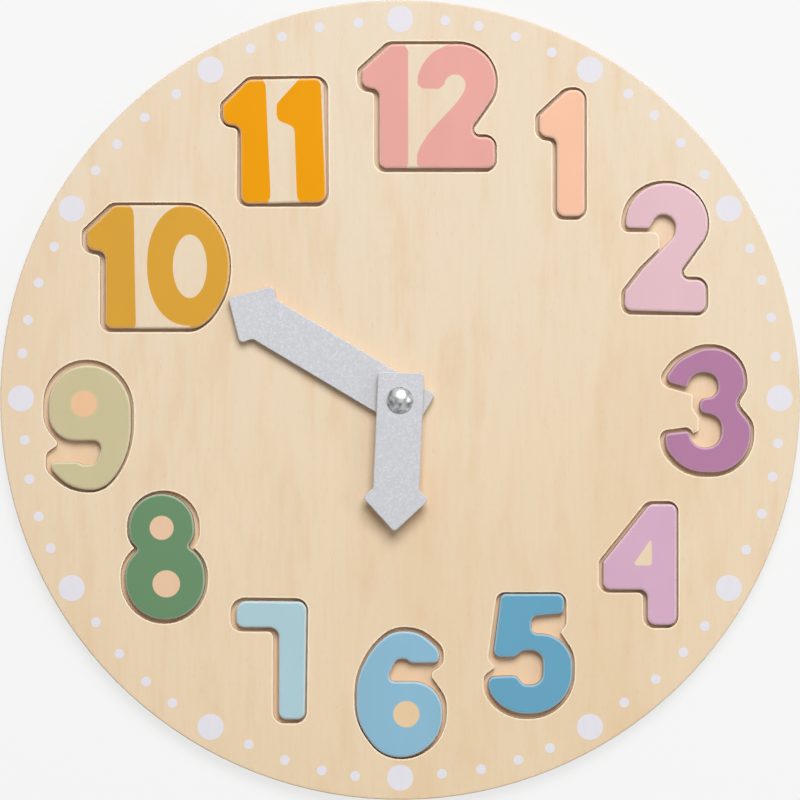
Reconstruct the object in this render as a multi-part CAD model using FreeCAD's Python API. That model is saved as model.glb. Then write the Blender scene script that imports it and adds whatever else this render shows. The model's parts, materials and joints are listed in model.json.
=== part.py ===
"""Teaching clock: a round wooden board with twelve lift-out number pieces and two hands on one rivet.

Millimetres. The board lies flat with its face up: +Z points out of the face, +Y towards twelve
o'clock, and the origin is the centre of the back face.
"""

import FreeCAD, Part
import math
import os

# Board
NUMERAL_HEIGHT = 47.0
RIM_WIDTH = 15.3
FACE_THICKNESS = 2.5
BACK_THICKNESS = 3.5

# Number pieces
PIECE_THICKNESS = 3.5
PIECE_PLAY = 1.1

# Hands
HAND_WIDTH = 17.2
HAND_THICKNESS = 3.0
HAND_TAIL = 10.3
HOUR_REACH = 49.3
TIP_CLEARANCE = 1.2
BARB_OVERHANG = 3.8
BARB_TO_TIP = 12.5
SHOULDER_SLANT = 3.5
TAIL_CORNER = 1.5
BARB_CORNER = 1.6
TIP_CORNER = 1.4
NOTCH_CORNER = 1.3
HOUR_ANGLE = 182.5
MINUTE_ANGLE = 300.8

# Pivot
SHANK_DIAMETER = 5.0
PIVOT_FIT = 0.05
HEAD_OVERLAP = 2.45
HEAD_RISE = 2.5
HEAD_RIM = 0.5
WASHER_WIDTH = 4.0
WASHER_THICKNESS = 0.5
ROLL_OVERLAP = 1.6
ROLL_HEIGHT = 1.1
ROLL_DEPTH = 0.7
ROLL_BORE = 3.2
POCKET_DEPTH = 2.0
POCKET_CLEARANCE = 0.8

# Every share below is in hundredths of the numeral height.
PER_HUNDRED = 0.01

# The ring of numbers: how far the recesses reach from the pivot, and the clear circle inside them.
OUTER_REACH_SHARE = 286.6
INNER_REACH_SHARE = 162.0

# Middle of each number, right of and above the pivot.
PLACE_SHARES = {
    1: (129.9, 197.3),
    2: (211.7, 121.3),
    3: (245.4, -8.3),
    4: (192.1, -131.5),
    5: (103.1, -203.5),
    6: (0.2, -233.9),
    7: (-102.7, -208.3),
    8: (-187.5, -125.9),
    9: (-249.1, -21.1),
    10: (-192.1, 106.1),
    11: (-101.1, 206.9),
    12: (22.2, 234.9),
}

# Where each piece came to rest in its recess: right, up and turn, as shares of what the play lets it move.
REST_SHARES = {
    1: (0.32, 0.1, 0.0),
    2: (0.42, 0.1, -0.3),
    3: (0.46, 0.0, -0.3),
    4: (0.4, 0.0, 0.0),
    5: (0.35, 0.55, 0.0),
    6: (-0.4, -0.4, 0.0),
    7: (0.68, 0.1, 0.0),
    8: (-0.1, 0.1, 1.1),
    9: (0.42, -0.5, 0.0),
    10: (0.65, 0.1, 0.0),
    11: (-0.05, 0.0, 0.4),
    12: (0.5, 0.1, 0.0),
}

# How much smaller than its outline a piece was cut all round, as a share of the play.
TRIM_SHARES = {3: 0.4, 5: 0.1, 7: 0.2, 8: 0.2, 9: 0.37, 12: 0.1}

# Share of a side that stays straight at least between the arcs at its two ends.
STRAIGHT_SHARE = 0.004

# Outlines run anticlockwise round each number: right, up, corner radius.
NUMBER_SHARES = {
    1: [
        (-5.8, -51.2, 7.0),
        (16.8, -51.2, 7.0),
        (16.8, 50.0, 8.0),
        (2.7, 50.0, 10.0),
        (-19.7, 29.2, 4.0),
        (-19.7, 13.2, 7.0),
        (-5.8, 10.8, 6.0),
    ],
    2: [
        (-33.0, -50.8, 6.0),
        (32.0, -51.7, 7.0),
        (32.0, -25.2, 8.0),
        (7.0, -25.2, 6.0),
        (32.8, 11.2, 24.0),
        (32.8, 51.5, 32.0),
        (-33.0, 51.5, 32.0),
        (-33.0, 15.0, 3.7),
        (-13.9, 15.0, 3.5),
        (-8.0, 26.2, 8.0),
        (8.0, 26.2, 10.0),
        (6.3, 9.6, 12.0),
        (-19.0, -17.2, 25.0),
        (-33.0, -35.5, 6.0),
    ],
    3: [
        (-18.0, -50.8, 34.0),
        (35.0, -50.8, 32.0),
        (35.0, -10.5, 16.0),
        (21.7, 5.2, 8.0),
        (29.6, 18.0, 13.0),
        (29.6, 50.6, 27.0),
        (-6.0, 50.6, 26.0),
        (-26.0, 40.5, 30.0),
        (-38.5, 22.6, 6.0),
        (-17.2, 16.4, 3.5),
        (-12.4, 29.0, 10.0),
        (6.0, 29.0, 9.0),
        (6.0, 12.0, 7.0),
        (-8.4, 10.2, 6.5),
        (-8.4, -2.2, 6.0),
        (9.2, -6.0, 10.0),
        (9.2, -28.6, 11.0),
        (-11.0, -28.6, 11.0),
        (-15.2, -15.5, 4.0),
        (-35.6, -18.2, 4.5),
        (-35.6, -31.5, 20.0),
    ],
    4: [
        (4.2, -48.2, 7.0),
        (27.8, -48.2, 7.0),
        (27.8, 48.5, 6.0),
        (6.0, 48.5, 7.0),
        (-31.1, 2.3, 3.0),
        (-31.1, -20.0, 6.0),
        (4.2, -20.0, 6.5),
    ],
    5: [
        (-18.7, -48.8, 34.0),
        (34.1, -48.8, 34.0),
        (34.1, 16.0, 26.0),
        (1.3, 16.0, 5.0),
        (1.3, 29.1, 5.0),
        (27.4, 31.6, 5.0),
        (27.4, 47.8, 6.0),
        (-23.7, 47.8, 5.0),
        (-30.4, -3.5, 6.0),
        (-12.4, -3.5, 8.0),
        (-5.6, 1.9, 7.0),
        (9.7, 1.9, 9.0),
        (9.7, -24.8, 9.0),
        (-5.6, -24.8, 6.0),
        (-10.4, -17.2, 8.0),
        (-34.0, -18.2, 5.5),
        (-34.0, -31.0, 19.0),
    ],
    6: [
        (-13.6, -50.5, 28.0),
        (34.8, -50.5, 34.0),
        (34.8, 10.3, 24.0),
        (-7.5, 10.3, 4.0),
        (-7.5, 16.5, 5.0),
        (-2.0, 28.0, 6.0),
        (5.0, 28.0, 4.0),
        (10.0, 24.7, 6.0),
        (32.3, 24.7, 5.5),
        (32.3, 35.6, 11.8),
        (15.3, 50.4, 27.0),
        (-5.4, 50.4, 23.0),
        (-21.2, 37.8, 56.0),
        (-34.2, 13.2, 50.0),
        (-34.2, -22.6, 44.0),
    ],
    7: [
        (3.6, -47.5, 7.0),
        (25.9, -47.5, 7.0),
        (27.2, 47.8, 8.0),
        (-30.2, 48.4, 9.0),
        (-30.2, 25.9, 7.0),
        (3.8, 25.7, 7.0),
    ],
    8: [
        (-33.1, -50.4, 32.4),
        (31.9, -50.4, 32.4),
        (31.9, -1.9, 26.0),
        (19.3, 7.8, 2.4),
        (25.4, 15.1, 16.0),
        (25.4, 51.4, 26.6),
        (-28.0, 51.4, 26.6),
        (-28.0, 15.1, 16.0),
        (-21.3, 7.3, 2.4),
        (-33.1, -1.9, 25.0),
    ],
    9: [
        (-14.6, -50.5, 35.0),
        (11.2, -50.5, 22.0),
        (25.2, -35.1, 58.0),
        (34.4, -12.1, 70.0),
        (34.4, 26.9, 39.0),
        (15.1, 51.0, 33.0),
        (-33.2, 51.0, 32.0),
        (-33.2, -11.2, 22.0),
        (8.4, -11.2, 5.0),
        (8.4, -18.0, 5.0),
        (3.5, -28.4, 6.0),
        (-4.5, -28.4, 4.0),
        (-9.5, -26.2, 6.0),
        (-31.2, -26.2, 4.0),
        (-31.2, -33.9, 8.0),
    ],
    10: [
        (-44.9, -49.6, 6.0),
        (28.8, -49.6, 18.0),
        (40.8, -41.2, 38.0),
        (54.9, -17.1, 57.0),
        (54.9, 16.5, 56.0),
        (41.9, 38.1, 52.0),
        (28.9, 49.2, 22.0),
        (-37.5, 49.2, 8.0),
        (-59.5, 28.6, 4.0),
        (-59.5, 13.8, 7.0),
        (-44.9, 11.3, 6.0),
    ],
    11: [
        (-26.9, -50.3, 7.0),
        (42.0, -50.3, 8.0),
        (41.4, 49.4, 8.0),
        (-19.2, 49.1, 8.0),
        (-40.1, 29.2, 4.0),
        (-40.1, 14.0, 7.0),
        (-26.2, 11.5, 6.0),
    ],
    12: [
        (-40.4, -50.7, 6.5),
        (52.8, -50.7, 7.0),
        (52.8, -25.1, 8.0),
        (29.4, -25.1, 6.0),
        (53.6, 9.5, 26.0),
        (53.6, 49.1, 30.0),
        (-31.4, 49.1, 8.0),
        (-54.2, 28.2, 4.0),
        (-54.2, 14.4, 7.0),
        (-40.4, 12.0, 6.0),
    ],
}

# Open hollows: the board's tongue stops short of the piece. Each entry names the first and the last
# outline point that it stands in for, and gives the line the recess takes there instead.
HOLLOW_SHARES = {
    2: [(8, 11, [(-2.2, 15.0, 8.0), (-2.2, -0.6, 4.5)])],
    3: [
        (
            9,
            17,
            [
                (-9.4, 14.4, 4.0),
                (-9.4, 1.5, 5.0),
                (-4.5, -5.0, 4.5),
                (-4.5, -17.5, 4.8),
                (-12.8, -21.5, 3.0),
            ],
        )
    ],
    5: [
        (2, 5, [(34.1, 0.5, 22.0), (22.2, 18.3, 4.0), (27.4, 25.4, 4.0)]),
        (8, 15, [(-30.4, -2.6, 4.0), (-23.2, -9.9, 3.5), (-34.0, -17.4, 5.0)]),
    ],
    6: [(2, 8, [(34.8, -4.5, 21.0), (23.0, 12.0, 4.0), (23.0, 18.0, 4.0), (32.3, 24.5, 5.0)])],
    9: [(7, 13, [(-33.2, 2.0, 21.0), (-22.3, -11.5, 4.0), (-22.3, -16.3, 4.0), (-31.2, -22.3, 5.0)])],
}

SHANK_RADIUS = SHANK_DIAMETER / 2
BORE_RADIUS = SHANK_RADIUS + PIVOT_FIT
HEAD_RADIUS = SHANK_RADIUS + HEAD_OVERLAP
WASHER_RADIUS = BORE_RADIUS + WASHER_WIDTH
ROLL_RADIUS = SHANK_RADIUS + ROLL_OVERLAP
POCKET_RADIUS = WASHER_RADIUS + POCKET_CLEARANCE
BOARD_RADIUS = NUMERAL_HEIGHT * OUTER_REACH_SHARE * PER_HUNDRED + RIM_WIDTH
MINUTE_REACH = NUMERAL_HEIGHT * INNER_REACH_SHARE * PER_HUNDRED - TIP_CLEARANCE

FACE_BOTTOM = BACK_THICKNESS
FACE_TOP = FACE_BOTTOM + FACE_THICKNESS
MINUTE_BOTTOM = FACE_TOP + WASHER_THICKNESS
MINUTE_TOP = MINUTE_BOTTOM + HAND_THICKNESS
HOUR_BOTTOM = MINUTE_TOP + WASHER_THICKNESS
HOUR_TOP = HOUR_BOTTOM + HAND_THICKNESS
BACK_WASHER_BOTTOM = POCKET_DEPTH - WASHER_THICKNESS
ROLL_BOTTOM = BACK_WASHER_BOTTOM - ROLL_HEIGHT


def vector(x, y, z):
    """A FreeCAD vector."""
    return FreeCAD.Vector(x, y, z)


def in_millimetres(shares):
    """Outline points in millimetres from points in hundredths of the numeral height."""
    unit = NUMERAL_HEIGHT * PER_HUNDRED
    return [(x * unit, y * unit, radius * unit) for x, y, radius in shares]


def side_direction(start, end):
    """Unit direction from one outline point to the next."""
    length = math.hypot(end[0] - start[0], end[1] - start[1])
    return (end[0] - start[0]) / length, (end[1] - start[1]) / length


def moved_corner(before, corner, after, outward):
    """A corner of the outline whose two sides have moved outwards, with its turn and directions."""
    ax, ay = side_direction(before, corner)
    bx, by = side_direction(corner, after)
    turn = math.atan2(ax * by - ay * bx, ax * bx + ay * by)
    stretch = outward * math.tan(turn / 2)
    x = corner[0] + ay * outward + ax * stretch
    y = corner[1] - ax * outward + ay * stretch
    wider = outward if turn > 0 else -outward
    radius = max(corner[2] + wider, 0)
    return x, y, radius, turn, (ax, ay), (bx, by)


def arc_reach(corner):
    """How far a corner's arc reaches along the two sides that meet there."""
    return corner[2] * math.tan(abs(corner[3]) / 2)


def fitted_radii(corners):
    """Corner radii, tightened where the arcs at the two ends of a side would run into each other."""
    count = len(corners)
    easing = []
    for i in range(count):
        here = corners[i]
        after = corners[(i + 1) % count]
        room = math.hypot(after[0] - here[0], after[1] - here[1]) * (1 - STRAIGHT_SHARE)
        easing.append(min(1, room / max(arc_reach(here) + arc_reach(after), room)))
    return [corners[i][2] * min(easing[i - 1], easing[i]) for i in range(count)]


def rounded_wire(points, outward, z):
    """Closed wire of lines and tangent arcs through a list of (x, y, radius), moved outwards."""
    count = len(points)
    corners = []
    for i in range(count):
        corners.append(moved_corner(points[i - 1], points[i], points[(i + 1) % count], outward))
    radii = fitted_radii(corners)
    starts = []
    ends = []
    edges = []
    for i in range(count):
        x, y, _, turn, into, out = corners[i]
        reach = radii[i] * math.tan(abs(turn) / 2)
        start = vector(x - into[0] * reach, y - into[1] * reach, z)
        end = vector(x + out[0] * reach, y + out[1] * reach, z)
        starts.append(start)
        ends.append(end)
    for i in range(count):
        x, y, _, turn, into, out = corners[i]
        radius = radii[i]
        if radius > 0:
            bulge = radius / math.cos(turn / 2) - radius
            inward = vector(out[0] - into[0], out[1] - into[1], 0).normalize()
            middle = vector(x, y, z) + inward * bulge
            edges.append(Part.Arc(starts[i], middle, ends[i]).toShape())
        edges.append(Part.makeLine(ends[i], starts[(i + 1) % count]))
    return Part.Wire(edges)


def prism(wire, height):
    """Solid between a flat wire and its copy above it."""
    return Part.Face(wire).extrude(vector(0, 0, height))


def cylinder(radius, bottom, top):
    """Upright cylinder about the pivot."""
    return Part.makeCylinder(radius, top - bottom, vector(0, 0, bottom))


def number_place(number):
    """Middle of a number, measured from the pivot."""
    unit = NUMERAL_HEIGHT * PER_HUNDRED
    x, y = PLACE_SHARES[number]
    return vector(x * unit, y * unit, 0)


def recess_points(number):
    """Outline points of a recess before the play is added: the number's own, or the hollow's."""
    points = list(NUMBER_SHARES[number])
    for first, last, instead in reversed(HOLLOW_SHARES.get(number, [])):
        points[first : last + 1] = instead
    return in_millimetres(points)


def recess(number):
    """The through cut in the face panel that holds one number piece."""
    wire = rounded_wire(recess_points(number), PIECE_PLAY, FACE_BOTTOM)
    cut = prism(wire, FACE_THICKNESS)
    cut.translate(number_place(number))
    return cut


def number_piece(number):
    """One lift-out number piece, lying in its recess and standing proud of the face."""
    trim = TRIM_SHARES.get(number, 0) * PIECE_PLAY
    outline = rounded_wire(in_millimetres(NUMBER_SHARES[number]), -trim, FACE_BOTTOM)
    piece = prism(outline, PIECE_THICKNESS)
    right, up, twist = REST_SHARES[number]
    piece.rotate(vector(0, 0, 0), vector(0, 0, 1), math.degrees(twist * PIECE_PLAY / (NUMERAL_HEIGHT / 2)))
    piece.translate(number_place(number) + vector(right * PIECE_PLAY, up * PIECE_PLAY, 0))
    return piece


def face_panel():
    """Front disc of the board, with the twelve recesses cut right through it."""
    cuts = [recess(number) for number in sorted(NUMBER_SHARES)]
    cuts.append(cylinder(BORE_RADIUS, FACE_BOTTOM, FACE_TOP))
    return cylinder(BOARD_RADIUS, FACE_BOTTOM, FACE_TOP).cut(cuts)


def back_panel():
    """Back disc, glued behind the face panel, with a pocket for the rivet's tail."""
    pocket = cylinder(POCKET_RADIUS, 0, POCKET_DEPTH)
    return cylinder(BOARD_RADIUS, 0, BACK_THICKNESS).cut([cylinder(BORE_RADIUS, 0, BACK_THICKNESS), pocket])


def hand(reach, bottom, direction):
    """A flat arrow-headed hand with a bore for the rivet, turned clockwise from twelve o'clock."""
    half = HAND_WIDTH / 2
    barb = half + BARB_OVERHANG
    barb_at = reach - BARB_TO_TIP
    notch_at = barb_at - SHOULDER_SLANT
    points = [
        (-half, -HAND_TAIL, TAIL_CORNER),
        (half, -HAND_TAIL, TAIL_CORNER),
        (half, notch_at, NOTCH_CORNER),
        (barb, barb_at, BARB_CORNER),
        (0, reach, TIP_CORNER),
        (-barb, barb_at, BARB_CORNER),
        (-half, notch_at, NOTCH_CORNER),
    ]
    blank = prism(rounded_wire(points, 0, bottom), HAND_THICKNESS)
    plate = blank.cut(cylinder(BORE_RADIUS, bottom, bottom + HAND_THICKNESS))
    plate.rotate(vector(0, 0, 0), vector(0, 0, 1), -direction)
    return plate


def washer(bottom):
    """A flat washer on the rivet."""
    return cylinder(WASHER_RADIUS, bottom, bottom + WASHER_THICKNESS).cut(
        cylinder(BORE_RADIUS, bottom, bottom + WASHER_THICKNESS)
    )


def turned(profile):
    """Solid of revolution about the pivot from a closed profile in the XZ plane."""
    return Part.Face(Part.Wire(profile)).revolve(vector(0, 0, 0), vector(0, 0, 1), 360)


def line(start, end):
    """Straight profile edge between two (radius, height) points."""
    return Part.makeLine(vector(start[0], 0, start[1]), vector(end[0], 0, end[1]))


def curve(start, through, end):
    """Arc profile edge through three (radius, height) points."""
    return Part.Arc(*[vector(radius, 0, z) for radius, z in (start, through, end)]).toShape()


def dome_top(radius):
    """Height of the domed head above its rim at a distance from the axis."""
    crown = HEAD_RISE - HEAD_RIM
    sphere = (HEAD_RADIUS**2 + crown**2) / (2 * crown)
    return HOUR_TOP + HEAD_RIM + crown - sphere + math.sqrt(sphere**2 - radius**2)


def pivot_rivet():
    """Domed rivet: head above the hour hand, plain shank, tail rolled over under the back washer."""
    rim = HOUR_TOP + HEAD_RIM
    roll_shoulder = ROLL_BOTTOM + ROLL_DEPTH
    hollow_top = roll_shoulder + ROLL_HEIGHT
    bore = ROLL_BORE / 2
    corners = [
        (HEAD_RADIUS, rim),
        (HEAD_RADIUS, HOUR_TOP),
        (SHANK_RADIUS, HOUR_TOP),
        (SHANK_RADIUS, BACK_WASHER_BOTTOM),
        (ROLL_RADIUS, BACK_WASHER_BOTTOM),
        (ROLL_RADIUS, roll_shoulder),
        ((ROLL_RADIUS + bore) / 2, ROLL_BOTTOM),
        (bore, roll_shoulder),
        (bore, hollow_top),
        (0, hollow_top),
        (0, dome_top(0)),
    ]
    half_head = HEAD_RADIUS / 2
    edges = [curve(corners[-1], (half_head, dome_top(half_head)), corners[0])]
    for start, end in zip(corners, corners[1:]):
        edges.append(line(start, end))
    return turned(edges)


def main():
    """Build every sub-part and write one STEP file for each."""
    os.makedirs("parts", exist_ok=True)
    parts = {
        "face_panel": face_panel(),
        "back_panel": back_panel(),
        "minute_hand": hand(MINUTE_REACH, MINUTE_BOTTOM, MINUTE_ANGLE),
        "hour_hand": hand(HOUR_REACH, HOUR_BOTTOM, HOUR_ANGLE),
        "face_washer": washer(FACE_TOP),
        "hand_washer": washer(MINUTE_TOP),
        "back_washer": washer(BACK_WASHER_BOTTOM),
        "pivot_rivet": pivot_rivet(),
    }
    for number in sorted(NUMBER_SHARES):
        parts[f"number_{number:02d}"] = number_piece(number)
    for name, shape in parts.items():
        shape.exportStep(f"parts/{name}.step")
        print(name, shape.isValid(), len(shape.Solids), round(shape.Volume, 1))


main()
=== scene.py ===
"""Looks of the teaching clock: sanded birch board, painted number pieces, silver hands, domed rivet.

Metres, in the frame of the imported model: the clock lies on its back, the face looks along +Z and
twelve o'clock is along +Y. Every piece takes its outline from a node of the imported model.
"""

import json
import logging
import math
from dataclasses import dataclass, replace
from enum import Enum
from typing import Optional, Sequence, Union

import bpy
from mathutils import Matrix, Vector

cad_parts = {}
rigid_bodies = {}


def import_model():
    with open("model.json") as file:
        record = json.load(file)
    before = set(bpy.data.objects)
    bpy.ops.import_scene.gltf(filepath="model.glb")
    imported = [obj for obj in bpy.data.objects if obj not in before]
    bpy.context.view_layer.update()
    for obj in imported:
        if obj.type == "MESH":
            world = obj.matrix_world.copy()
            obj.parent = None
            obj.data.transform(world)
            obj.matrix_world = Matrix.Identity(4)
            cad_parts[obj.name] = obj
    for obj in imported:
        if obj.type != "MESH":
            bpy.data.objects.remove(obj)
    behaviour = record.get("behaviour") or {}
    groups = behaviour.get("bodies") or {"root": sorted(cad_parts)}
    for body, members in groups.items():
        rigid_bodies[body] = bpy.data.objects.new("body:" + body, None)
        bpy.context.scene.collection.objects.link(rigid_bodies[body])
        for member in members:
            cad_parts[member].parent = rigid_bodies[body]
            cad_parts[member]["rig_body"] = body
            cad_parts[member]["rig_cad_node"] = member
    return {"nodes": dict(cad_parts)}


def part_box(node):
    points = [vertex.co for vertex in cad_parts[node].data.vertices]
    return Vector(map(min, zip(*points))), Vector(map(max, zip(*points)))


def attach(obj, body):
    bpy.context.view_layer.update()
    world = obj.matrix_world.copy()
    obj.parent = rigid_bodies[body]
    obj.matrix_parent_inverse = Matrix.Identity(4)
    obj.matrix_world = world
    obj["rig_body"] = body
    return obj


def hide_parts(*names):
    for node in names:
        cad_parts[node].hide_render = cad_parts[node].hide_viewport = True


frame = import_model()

log = logging.getLogger("teaching_clock")

MM = 0.001
NUMERAL_UNIT = 0.47 * MM
PRINT_EDGE = 0.09 * MM
PRINT_REACH = 30 * MM
LEVEL_SLACK = 0.01 * MM

Colour = tuple[float, float, float]
Socket = bpy.types.NodeSocket
Feed = Union[float, Sequence[float], Socket]
Point = tuple[float, float]


def srgb(red: int, green: int, blue: int) -> Colour:
    """Linear colour from the eight-bit values that a picture shows.

    Args:
        red: red, 0 to 255.
        green: green, 0 to 255.
        blue: blue, 0 to 255.

    Returns:
        The same colour in linear light.
    """
    shares = [value / 255 for value in (red, green, blue)]
    return tuple(s / 12.92 if s <= 0.04045 else ((s + 0.055) / 1.055) ** 2.4 for s in shares)


def lighter(colour: Colour, share: float) -> Colour:
    """The colour with its brightness changed by a share of itself."""
    return tuple(min(channel * (1 + share), 1.0) for channel in colour)


class Recipe:
    """The shader nodes of one material, added one by one with their inputs."""

    def __init__(self, name: str) -> None:
        """Start an empty material of that name."""
        self.material = bpy.data.materials.new(name)
        self.material.use_nodes = True
        self.tree = self.material.node_tree
        self.tree.nodes.clear()
        self.count = 0

    def node(self, kind: str, feeds: Optional[dict] = None, **settings) -> bpy.types.Node:
        """Add a node.

        Args:
            kind: the node's type name, without its ShaderNode prefix.
            feeds: input name or number, and the socket or value that goes into it.
            settings: properties of the node.

        Returns:
            The new node.
        """
        made = self.tree.nodes.new("ShaderNode" + kind)
        made.location = (220 * (self.count % 8), -260 * (self.count // 8))
        self.count += 1
        for name, value in settings.items():
            setattr(made, name, value)
        for name, value in (feeds or {}).items():
            if isinstance(value, Socket):
                self.tree.links.new(value, made.inputs[name])
            else:
                made.inputs[name].default_value = value
        return made

    def math(self, operation: str, first: Feed, second: Feed = 0.0) -> Socket:
        """Result of one sum on two numbers."""
        return self.node("Math", {0: first, 1: second}, operation=operation).outputs[0]

    def scaled(self, value: Feed, factor: float, start: float) -> Socket:
        """The start plus a value times the factor."""
        return self.node("Math", {0: value, 1: factor, 2: start}, operation="MULTIPLY_ADD").outputs[0]

    def mix(self, factor: Feed, first: Feed, second: Feed, blend: str = "MIX") -> Socket:
        """Blend of two colours.

        Args:
            factor: 0 gives the first colour, 1 the second.
            first: a colour or a colour socket.
            second: a colour or a colour socket.
            blend: how the second goes over the first.

        Returns:
            The mixed colour's socket.
        """
        feeds = {"Factor": factor, 6: with_alpha(first), 7: with_alpha(second)}
        return self.node("Mix", feeds, data_type="RGBA", blend_type=blend).outputs[2]

    def place(self, centre: Vector = Vector(), stretch: Sequence[float] = (1, 1, 1)) -> Socket:
        """Place on the piece, measured from a centre and stretched.

        Args:
            centre: the point that becomes the middle of the pattern.
            stretch: how much faster the pattern runs along each axis.

        Returns:
            The socket with the place.
        """
        middle = self.node("TexCoord").outputs["Object"]
        moved = self.node("VectorMath", {0: middle, 1: centre}, operation="SUBTRACT").outputs[0]
        return self.node("VectorMath", {0: moved, 1: stretch}, operation="MULTIPLY").outputs[0]

    def height(self) -> Socket:
        """Height on the piece, along +Z."""
        return self.node("SeparateXYZ", {0: self.place()}).outputs[2]

    def noise(self, place: Socket, size: float, detail: float = 2.0, rough: float = 0.5) -> Socket:
        """Cloudy noise from 0 to 1 whose blotches are about that many metres across."""
        feeds = {"Vector": place, "Scale": 1 / size, "Detail": detail, "Roughness": rough}
        return self.node("TexNoise", feeds, noise_dimensions="3D").outputs[0]

    def between(self, value: Feed, low: float, high: float, smooth: bool = False) -> Socket:
        """How far a value is from a low to a high one, held to 0 and 1."""
        kind = "SMOOTHSTEP" if smooth else "LINEAR"
        feeds = {"Value": value, "From Min": low, "From Max": high}
        return self.node("MapRange", feeds, interpolation_type=kind, clamp=True).outputs[0]

    def ramp(self, value: Feed, stops: Sequence[tuple[float, Colour]]) -> Socket:
        """Colour that changes with a value through the given stops."""
        made = self.node("ValToRGB", {0: value})
        band = made.color_ramp
        band.interpolation = "LINEAR"
        for at, colour in stops[1:-1]:
            band.elements.new(at).color = with_alpha(colour)
        for end in (0, -1):
            band.elements[end].position = stops[end][0]
            band.elements[end].color = with_alpha(stops[end][1])
        return made.outputs[0]

    def rim(self, top: float, ease: float) -> Socket:
        """Mask of an eased edge: 0 on the flat face at that height, 1 where the rounding ends."""
        return self.between(self.height(), top - 0.1 * ease, top - ease, smooth=True)

    def brow(self, top: float, ease: float) -> Socket:
        """Mask of the upper bend of an eased edge: 1 just below the flat face, 0 on it and further down."""
        height = self.height()
        starts = self.between(height, top - 0.02 * ease, top - 0.12 * ease)
        ends = self.between(height, top - 0.7 * ease, top - 0.4 * ease)
        return self.math("MULTIPLY", starts, ends)

    def bump(self, height: Socket, depth: float, strength: float = 1.0) -> Socket:
        """Surface normal bent by a height pattern that is that many metres deep."""
        return self.node("Bump", {"Height": height, "Strength": strength, "Distance": depth}).outputs[0]

    def finish(self, **feeds: Feed) -> bpy.types.Material:
        """Close the material with the main shader.

        Args:
            feeds: inputs of the shader, with underscores for spaces.

        Returns:
            The finished material.
        """
        named = {name.replace("_", " "): value for name, value in feeds.items()}
        shader = self.node("BsdfPrincipled", named)
        self.node("OutputMaterial", {"Surface": shader.outputs[0]})
        return self.material


def with_alpha(colour: Feed) -> Feed:
    """A colour with full alpha, or the socket as it is."""
    if isinstance(colour, Socket):
        return colour
    return (*colour[:3], 1.0)


class Zone(Enum):
    """The surfaces of a flat piece that get a finish of their own, in the order of its slots."""

    TOP = 0
    WALL = 1
    UNDERSIDE = 2


@dataclass(frozen=True)
class Birch:
    """Sanded birch veneer: pale, with long faint streaks along the grain and tiny pores.

    Attributes:
        far: colour at the top of the board.
        near: colour at the bottom of the board.
        streak: warmer colour of the streaks.
        reach: half height of the board, over which the colour drifts.
        seed: moves the pattern, so that two sheets differ.
        streak_width: width of the broad streaks.
        fibre_width: width of the fine fibres.
        pore_width: width of the pores.
        streak_stretch: how much slower the streaks change along the grain.
        grain_stretch: the same for the fibres.
        pore_stretch: the same for the pores.
    """

    far: Colour = srgb(235, 219, 196)
    near: Colour = srgb(239, 215, 180)
    streak: Colour = srgb(228, 190, 142)
    reach: float = 150 * MM
    seed: float = 0.0
    streak_width: float = 9 * MM
    fibre_width: float = 1.6 * MM
    pore_width: float = 0.35 * MM
    streak_stretch: float = 0.22
    grain_stretch: float = 0.06
    pore_stretch: float = 0.12

    def colour(self, recipe: Recipe) -> tuple[Socket, Socket]:
        """Lay the wood's colour.

        Args:
            recipe: the material being made.

        Returns:
            The colour and the height pattern of the wood.
        """
        shift = Vector((0, 0, -self.seed))
        along = recipe.place(shift, stretch=(1, self.grain_stretch, 1))
        drift = recipe.node("SeparateXYZ", {0: recipe.place()}).outputs[1]
        base = recipe.mix(recipe.between(drift, -self.reach, self.reach), self.near, self.far)
        clouds = recipe.noise(recipe.place(shift, stretch=(1, 0.4, 1)), 60 * MM, 1.0)
        drawn = recipe.place(shift, stretch=(1, self.streak_stretch, 1))
        streaks = recipe.noise(drawn, self.streak_width, 3.0, 0.6)
        tinted = recipe.math("MULTIPLY", recipe.between(streaks, 0.45, 0.8, smooth=True), 0.4)
        base = recipe.mix(tinted, base, self.streak)
        warm = recipe.math("MULTIPLY", recipe.between(clouds, 0.45, 0.75, smooth=True), 0.22)
        base = recipe.mix(warm, base, self.streak)
        fibres = recipe.noise(along, self.fibre_width, 2.0, 0.6)
        base = recipe.mix(recipe.math("MULTIPLY", recipe.between(fibres, 0.45, 0.8), 0.16), base, self.streak)
        short = recipe.place(shift, stretch=(1, self.pore_stretch, 1))
        pores = recipe.between(recipe.noise(short, self.pore_width, 1.0), 0.66, 0.76)
        base = recipe.mix(recipe.math("MULTIPLY", pores, 0.22), base, lighter(self.streak, -0.28))
        height = recipe.math("SUBTRACT", recipe.math("MULTIPLY", fibres, 0.5), pores)
        return base, height

    def material(self, name: str) -> bpy.types.Material:
        """The finish as a material of that name."""
        recipe = Recipe(name)
        base, height = self.colour(recipe)
        normal = recipe.bump(height, 0.03 * MM, 0.5)
        return recipe.finish(Base_Color=base, Roughness=0.62, Specular_IOR_Level=0.25, Normal=normal)


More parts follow.
